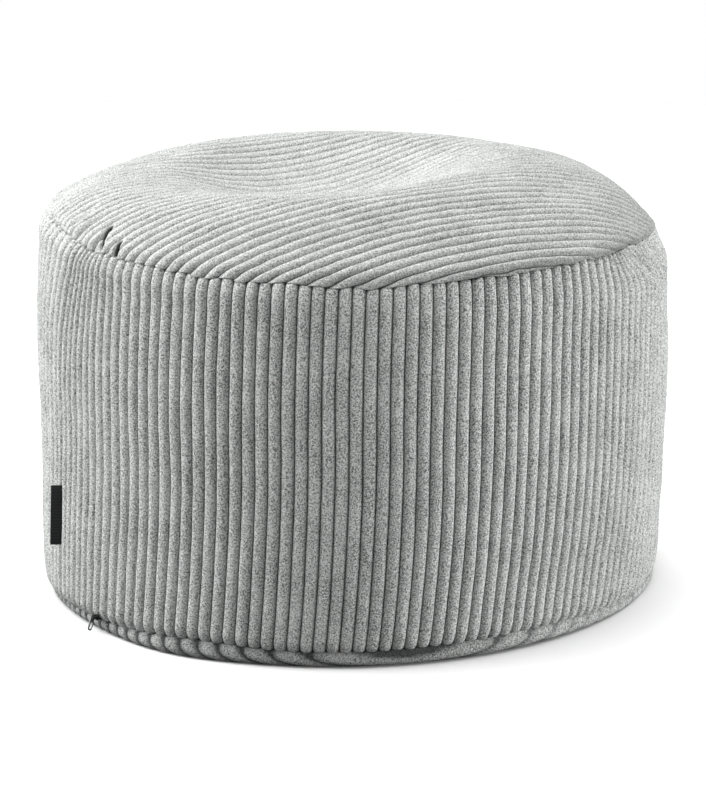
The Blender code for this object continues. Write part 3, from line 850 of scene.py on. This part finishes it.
def model_slider():
    length, depth, height = SLIDER_SIZE
    bpy.ops.mesh.primitive_cube_add(size=1.0)
    slider = bpy.context.object
    slider.name = "zip_slider_body"
    slider.scale = SLIDER_SIZE
    bpy.ops.object.transform_apply(location=False, rotation=False, scale=True)
    for point in slider.data.vertices:
        point.co.z *= SLIDER_NOSE if point.co.x < 0 else 1.0
        point.co.z *= SLIDER_BACK if point.co.y < 0 else 1.0
    edges = slider.modifiers.new("cast edges", "BEVEL")
    edges.width = SLIDER_EDGE
    edges.segments = 4
    bpy.ops.object.modifier_apply(modifier="cast edges")
    bpy.ops.mesh.primitive_torus_add(major_radius=BRIDGE_RADIUS, minor_radius=BRIDGE_WIRE,
                                     major_segments=40, minor_segments=16,
                                     location=(0.0, depth / 2 - BRIDGE_SINK, BRIDGE_RISE))
    bridge = bpy.context.object
    bpy.ops.object.transform_apply(location=True, rotation=True, scale=True)
    only(slider)
    join = slider.modifiers.new("bridge", "BOOLEAN")
    join.operation = "UNION"
    join.solver = "EXACT"
    join.object = bridge
    bpy.ops.object.modifier_apply(modifier="bridge")
    bpy.data.objects.remove(bridge)
    settle(slider, zip_place)
    return slider


slider = model_slider()
print("slider:", len(slider.data.polygons), "faces")


# %% Model the pull
def round_ended_plate(name, width, length, middle, thickness):
    """A thin plate with round ends in the plane x = 0, about a middle height."""
    bpy.ops.mesh.primitive_cylinder_add(vertices=32, radius=width / 2, depth=thickness,
                                        rotation=(0, pi / 2, 0), location=(0, 0, 0))
    plate = bpy.context.object
    plate.name = name
    bpy.ops.object.transform_apply(location=True, rotation=True, scale=True)
    straight = length / 2 - width / 2
    for point in plate.data.vertices:
        point.co.z += middle + (straight if point.co.z > 0 else -straight)
    return plate


def model_pull():
    middle = PULL_WIDTH / 2 - PULL_LENGTH / 2
    pull = round_ended_plate("zip_pull_tab", PULL_WIDTH, PULL_LENGTH, middle, PULL_THICKNESS)
    holes = ((PULL_EYE * 2, PULL_EYE * 2, 0.0), (SLOT_WIDTH, SLOT_LENGTH, SLOT_MIDDLE))
    for width, length, where in holes:
        cutter = round_ended_plate("cutter", width, length, where, PULL_THICKNESS * 3)
        only(pull)
        cut = pull.modifiers.new("hole", "BOOLEAN")
        cut.operation = "DIFFERENCE"
        cut.solver = "EXACT"
        cut.object = cutter
        bpy.ops.object.modifier_apply(modifier="hole")
        bpy.data.objects.remove(cutter)
    edges = pull.modifiers.new("stamped edges", "BEVEL")
    edges.width = PULL_EDGE
    edges.segments = 2
    edges.angle_limit = SHARP_EDGE
    bpy.ops.object.modifier_apply(modifier="stamped edges")
    wire = SLIDER_SIZE[1] / 2 - BRIDGE_SINK + BRIDGE_RADIUS
    hang = Matrix.Translation((0.0, wire, BRIDGE_RISE - PULL_DROP))
    hang = hang @ Matrix.Rotation(PULL_LEAN, 4, "X")
    settle(pull, zip_place @ hang)
    return pull


pull = model_pull()
print("pull:", len(pull.data.polygons), "faces")

# %% [markdown]
# ## Materials
#
# Colours are written as the sRGB hex values that a colour picker shows, and turned to
# linear light by one function. One more function adds a node, sets its values and joins
# its inputs, so that each material below reads as a recipe.


# %% Colour and node helpers
def linear(hex_colour):
    """An sRGB hex colour as linear red, green, blue and alpha."""
    values = []
    for start in (1, 3, 5):
        shown = int(hex_colour[start:start + 2], 16) / 255
        values.append(shown / 12.92 if shown <= 0.04045 else ((shown + 0.055) / 1.055) ** 2.4)
    return values + [1.0]


def add_node(tree, kind, settings=None, **inputs):
    """Adds a node. A setting is a property or a numbered input, and a socket makes a link."""
    node = tree.nodes.new(kind)
    for name, value in (settings or {}).items():
        if isinstance(name, int):
            if isinstance(value, bpy.types.NodeSocket):
                tree.links.new(value, node.inputs[name])
            else:
                node.inputs[name].default_value = value
        else:
            setattr(node, name, value)
    for name, value in inputs.items():
        socket = node.inputs[name.replace("_", " ")]
        if isinstance(value, bpy.types.NodeSocket):
            tree.links.new(value, socket)
        else:
            socket.default_value = value
    return node


def new_material(name):
    material = bpy.data.materials.new(name)
    material.use_nodes = True
    tree = material.node_tree
    shader = tree.nodes["Principled BSDF"]
    return material, tree, shader


# %% [markdown]
# ### Cotton and polyester corduroy
#
# The pile is short cut yarn, brushed upright. From a step away it is a pale, cool grey,
# but each tuft stands a little differently, so the ridges look peppered with light and
# dark specks 1 to 2 mm apart. A fine noise drives both the colour and a bump, and a wider
# one makes the cloth cloudy. The kept groove value darkens the bare ground, partly as its
# own colour and partly as painted shade in the grooves, and paints the inside of the
# slits near black as painted shade. A little sheen gives the soft light rim that brushed
# pile has.
# Sitting has brushed the seat's pile more even, so its specks are weaker.

# %% Mix the corduroy
PILE_LIGHT = "#f6f8f6"
PILE_DARK = "#5a5d5c"
GROUND_AND_GROOVE_SHADE = "#3c3f3f"
SLIT_SHADE_BLACK = "#0e0f0f"
TUFT = 0.0011
TUFT_BUMP = 0.0016
CLOUD = 0.030
CLOUD_SHARE = 0.12

# Between these noise values the pile goes from dark to light
SIDE_SPECKS = (0.40, 0.65)
SEAT_SPECKS = (0.34, 0.68)

# Between these groove values the pile gives way to ground darkened with painted groove shade, and the
# ground to a slit's painted black shade
GROUND_SHADE_RANGE = (0.50, 0.97)
GROUND_SHADE_SHARE = 0.9
SLIT_SHADE_RANGE = (1.0, 1.8)


def corduroy_material(name, specks):
    material, tree, shader = new_material(name)
    place = add_node(tree, "ShaderNodeTexCoord").outputs["Object"]
    tufts = add_node(tree, "ShaderNodeTexNoise", Vector=place, Scale=1 / TUFT, Detail=3.0, Roughness=0.65)
    clouds = add_node(tree, "ShaderNodeTexNoise", Vector=place, Scale=1 / CLOUD, Detail=2.0)
    cloudy = {"operation": "MULTIPLY_ADD", 0: clouds.outputs[0], 1: CLOUD_SHARE, 2: tufts.outputs[0]}
    mixed = add_node(tree, "ShaderNodeMath", cloudy).outputs[0]
    speck = add_node(tree, "ShaderNodeMapRange", {0: mixed, 1: specks[0], 2: specks[1]})
    pile = add_node(tree, "ShaderNodeMix", {"data_type": "RGBA", 0: speck.outputs[0],
                                            6: linear(PILE_DARK), 7: linear(PILE_LIGHT)})
    # Painted shade: the kept groove value darkens the ground between the ridges, over its own barer look
    groove = add_node(tree, "ShaderNodeAttribute", {"attribute_name": "groove"}).outputs["Fac"]
    bare = add_node(tree, "ShaderNodeMapRange", {0: groove, 1: GROUND_SHADE_RANGE[0], 2: GROUND_SHADE_RANGE[1], 4: GROUND_SHADE_SHARE})
    cloth = add_node(tree, "ShaderNodeMix", {"data_type": "RGBA", 0: bare.outputs[0],
                                             6: pile.outputs[2], 7: linear(GROUND_AND_GROOVE_SHADE)})
    # Painted shade: past a groove value of 1 the colour goes to near black inside the slits
    slit = add_node(tree, "ShaderNodeMapRange", {0: groove, 1: SLIT_SHADE_RANGE[0], 2: SLIT_SHADE_RANGE[1]})
    colour = add_node(tree, "ShaderNodeMix", {"data_type": "RGBA", 0: slit.outputs[0],
                                              6: cloth.outputs[2], 7: linear(SLIT_SHADE_BLACK)})
    bump = add_node(tree, "ShaderNodeBump", Height=tufts.outputs[0], Strength=1.0, Distance=TUFT_BUMP)
    tree.links.new(colour.outputs[2], shader.inputs["Base Color"])
    tree.links.new(bump.outputs[0], shader.inputs["Normal"])
    shader.inputs["Roughness"].default_value = 0.95
    shader.inputs["Specular IOR Level"].default_value = 0.15
    shader.inputs["Sheen Weight"].default_value = 0.05
    shader.inputs["Sheen Roughness"].default_value = 0.6
    return material


corduroy = corduroy_material("brushed_corduroy", SIDE_SPECKS)
for panel in (side_band, bottom_panel):
    panel.data.materials.append(corduroy)
top_panel.data.materials.append(corduroy_material("brushed_corduroy_sat_smooth", SEAT_SPECKS))
print("corduroy on", side_band.name, bottom_panel.name, top_panel.name)

# %% [markdown]
# ### Woven tape, zinc and steel
#
# The label is a satin-woven polyester tape, almost black. Its threads are about 0.4 mm
# apart, too fine to show from here, so the ribs are drawn 2.5 mm apart. The slider is
# die-cast zinc with a dark lacquer, and the pull is stamped steel with small scratches
# that run every way.

# %% Mix the tape and the metals
# A wave texture repeats each time that its scaled place goes on by 2 pi / 20
WAVE_REPEAT = 2 * pi / 20
TAPE_RIB = 0.002513
TAPE_BUMP = 0.0002
TAPE_DARK = "#101011"
TAPE_LIGHT = "#26262a"
ROUGHNESS_RANGE = 0.12


def tape_material():
    material, tree, shader = new_material("satin_woven_tape")
    place = add_node(tree, "ShaderNodeTexCoord").outputs["Object"]
    ribs = add_node(tree, "ShaderNodeTexWave", {"bands_direction": "Z"}, Vector=place,
                    Scale=WAVE_REPEAT / TAPE_RIB, Distortion=0.4).outputs["Fac"]
    bump = add_node(tree, "ShaderNodeBump", Height=ribs, Strength=0.5, Distance=TAPE_BUMP)
    shade = add_node(tree, "ShaderNodeMix", {"data_type": "RGBA", 0: ribs,
                                             6: linear(TAPE_DARK), 7: linear(TAPE_LIGHT)})
    tree.links.new(shade.outputs[2], shader.inputs["Base Color"])
    tree.links.new(bump.outputs[0], shader.inputs["Normal"])
    shader.inputs["Roughness"].default_value = 0.6
    return material


def metal_material(name, colour, roughness, scratch):
    material, tree, shader = new_material(name)
    place = add_node(tree, "ShaderNodeTexCoord").outputs["Object"]
    wear = add_node(tree, "ShaderNodeTexNoise", Vector=place, Scale=1 / scratch, Detail=4.0)
    least = roughness - ROUGHNESS_RANGE
    most = roughness + ROUGHNESS_RANGE
    rough = add_node(tree, "ShaderNodeMapRange", {0: wear.outputs[0], 3: least, 4: most})
    tree.links.new(rough.outputs[0], shader.inputs["Roughness"])
    shader.inputs["Base Color"].default_value = linear(colour)
    shader.inputs["Metallic"].default_value = 1.0
    return material


label.data.materials.append(tape_material())
slider.data.materials.append(metal_material("lacquered_zinc", "#3a3a3c", 0.42, 0.0008))
pull.data.materials.append(metal_material("stamped_steel", "#6a6a6b", 0.36, 0.0006))
print("materials:", sorted(material.name for material in bpy.data.materials))

# %% [markdown]
# ## Each piece stands for its node
#
# The dressed pieces take the place of the plain solids and ride on the same body.

# %% Put each piece in place of its node
PIECES = (
    (side_band, "side_band", "band_corduroy"),
    (top_panel, "top_panel", "top_corduroy"),
    (bottom_panel, "bottom_panel", "bottom_corduroy"),
    (label, "woven_label", "label_tape"),
    (slider, "zip_slider", "slider_metal"),
    (pull, "zip_pull", "pull_metal"),
)
for piece, node, finish in PIECES:
    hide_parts(node)
    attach(piece, "root")
print("pieces:", [piece.name for piece, node, finish in PIECES])

# %% [markdown]
# ## Floor, light and camera
#
# The pouf stands on white paper under soft light: a wide box overhead, to the left and a
# little behind, one low softbox to each side, and little from the camera's side, which
# leaves the front the darkest part. The right box is two lamps in one place, and a flag
# keeps the second off the top panel. One more lamp lights the paper alone, so that it
# stays white around the shadow. The paper is white to the camera, and gives back less
# light to the pouf than it shows. The room's own light is brighter at the left.

# %% Lay the floor
FLOOR_RADIUS = 2.8
PAPER_SEEN = "#fafafa"
PAPER_BOUNCE = "#5c5c5c"
PAPER_GLOW = 0.03
bpy.ops.mesh.primitive_circle_add(vertices=128, radius=FLOOR_RADIUS, fill_type="NGON")
floor = bpy.context.object
floor.name = "studio_floor"
floor_material, floor_tree, floor_shader = new_material("matt_white_paper")
seen = add_node(floor_tree, "ShaderNodeLightPath").outputs["Is Camera Ray"]
paper = add_node(floor_tree, "ShaderNodeMix", {"data_type": "RGBA", 0: seen,
                                               6: linear(PAPER_BOUNCE), 7: linear(PAPER_SEEN)})
floor_tree.links.new(paper.outputs[2], floor_shader.inputs["Base Color"])
floor_shader.inputs["Roughness"].default_value = 0.9
floor_shader.inputs["Specular IOR Level"].default_value = 0.0
glow = add_node(floor_tree, "ShaderNodeMath", {"operation": "MULTIPLY", 0: seen, 1: PAPER_GLOW})
floor_shader.inputs["Emission Color"].default_value = (1.0, 1.0, 1.0, 1.0)
floor_tree.links.new(glow.outputs[0], floor_shader.inputs["Emission Strength"])
floor.data.materials.append(floor_material)

# %% Hang the lights
SoftBox = namedtuple("SoftBox", "name place aim width height power")
SOFT_BOXES = (
    SoftBox("overhead", (-1.15, 0.60, 2.3), (0.0, 0.0, 0.1), 3.6, 3.2, 126.0),
    SoftBox("left", (-2.2, -0.10, 0.30), (0.0, 0.0, 0.15), 1.5, 0.6, 27.0),
    SoftBox("sweep", (0.6, -0.2, 2.8), (0.3, 0.0, 0.0), 3.4, 3.4, 54.0),
    SoftBox("right", (2.2, -0.35, 0.14), (0.0, 0.0, 0.14), 1.5, 0.34, 21.0),
    SoftBox("right flagged", (2.2, -0.35, 0.14), (0.0, 0.0, 0.14), 1.5, 0.34, 28.0),
)
LIT_BY = {
    "sweep": (floor,),
    "right flagged": (side_band, bottom_panel, label, slider, pull, floor),
}
for box in SOFT_BOXES:
    lamp = bpy.data.lights.new(box.name, "AREA")
    lamp.shape = "RECTANGLE"
    lamp.size = box.width
    lamp.size_y = box.height
    lamp.energy = box.power
    holder = bpy.data.objects.new(box.name, lamp)
    holder.location = box.place
    towards = Vector(box.aim) - Vector(box.place)
    holder.rotation_euler = towards.to_track_quat("-Z", "Y").to_euler()
    bpy.context.scene.collection.objects.link(holder)
    if box.name in LIT_BY:
        lit = bpy.data.collections.new("lit by " + box.name)
        for piece in LIT_BY[box.name]:
            lit.objects.link(piece)
        holder.light_linking.receiver_collection = lit
print("lamps:", [box.name for box in SOFT_BOXES])

# %% Light the room
ROOM_LEFT = 0.52
ROOM_RIGHT = 0.37
world = bpy.data.worlds.new("white_room")
bpy.context.scene.world = world
world.use_nodes = True
world_tree = world.node_tree
path = add_node(world_tree, "ShaderNodeLightPath")
way = add_node(world_tree, "ShaderNodeTexCoord").outputs["Generated"]
sides = add_node(world_tree, "ShaderNodeSeparateXYZ", Vector=way)
room = add_node(world_tree, "ShaderNodeMapRange", {0: sides.outputs["X"], 1: -1.0, 2: 1.0,
                                                   3: ROOM_LEFT, 4: ROOM_RIGHT})
strength = add_node(world_tree, "ShaderNodeMix", {0: path.outputs["Is Camera Ray"],
                                                  2: room.outputs[0], 3: 1.0})
background = world_tree.nodes["Background"]
background.inputs["Color"].default_value = (1.0, 1.0, 1.0, 1.0)
world_tree.links.new(strength.outputs[0], background.inputs["Strength"])

# %% Place the camera
CAMERA_HEIGHT_ANGLE = radians(14.5)
CAMERA_DISTANCE = 2.0
CAMERA_AIM = Vector((0.0, 0.0, 0.1375))
lens = bpy.data.cameras.new("camera")
lens.lens = 112.5
lens.sensor_width = 36.0
camera = bpy.data.objects.new("camera", lens)
from_aim = Vector((0, -cos(CAMERA_HEIGHT_ANGLE), sin(CAMERA_HEIGHT_ANGLE)))
camera.location = CAMERA_AIM + CAMERA_DISTANCE * from_aim
camera.rotation_euler = (CAMERA_AIM - camera.location).to_track_quat("-Z", "Y").to_euler()
bpy.context.scene.collection.objects.link(camera)
bpy.context.scene.camera = camera
bpy.context.scene.view_settings.view_transform = "Standard"
